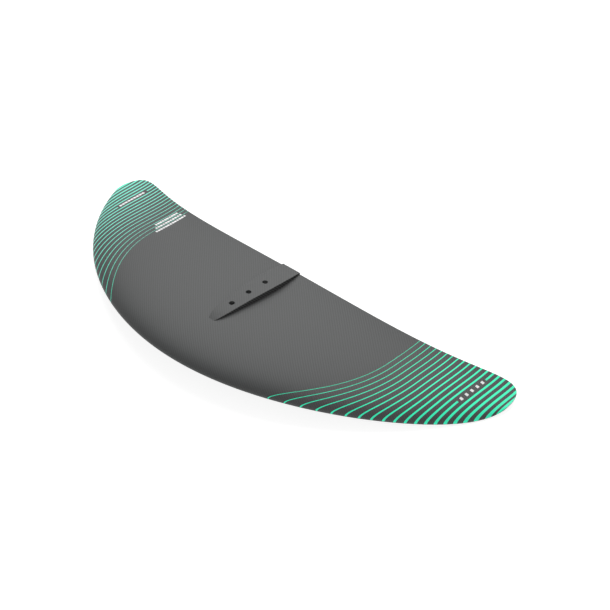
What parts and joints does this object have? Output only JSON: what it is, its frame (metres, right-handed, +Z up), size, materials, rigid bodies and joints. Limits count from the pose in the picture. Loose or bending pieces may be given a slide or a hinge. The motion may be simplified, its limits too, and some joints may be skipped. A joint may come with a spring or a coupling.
{
  "type": "hydrofoil front wing",
  "caption": "Crescent hydrofoil front wing in moulded carbon, with drooped rounded tips, striped tip graphics and a raised saddle for bolts on top.",
  "frame": {"origin": "the middle bolt hole of the saddle, at the top of the saddle", "axes": "+X along the span to port, +Y aft, +Z up out of the saddle, along the bolts"},
  "size_m": [0.8432, 0.3372, 0.0683],
  "materials": {
    "carbon_skin": "satin carbon weave",
    "carbon_saddle": "satin carbon weave",
    "laminate": "cured laminate",
    "foam": "closed-cell foam",
    "bushing_steel": "turned stainless steel"
  },
  "bodies": {
    "root": {"upper_skin": "carbon_skin", "lower_skin": "carbon_skin", "saddle": "carbon_saddle", "root_block": "laminate", "bolt_bushings": "bushing_steel", "spar_cap_upper": "laminate", "spar_cap_lower": "laminate", "front_web": "laminate", "rear_web_port": "laminate", "rear_web_starboard": "laminate", "leading_edge_bead": "laminate", "trailing_edge_strip": "laminate", "nose_core_port": "foam", "nose_core_starboard": "foam", "box_core_port": "foam", "box_core_starboard": "foam", "tail_core_port": "foam", "tail_core_starboard": "foam", "tip_filler_port": "foam", "tip_filler_starboard": "foam"}
  },
  "joints": []
}
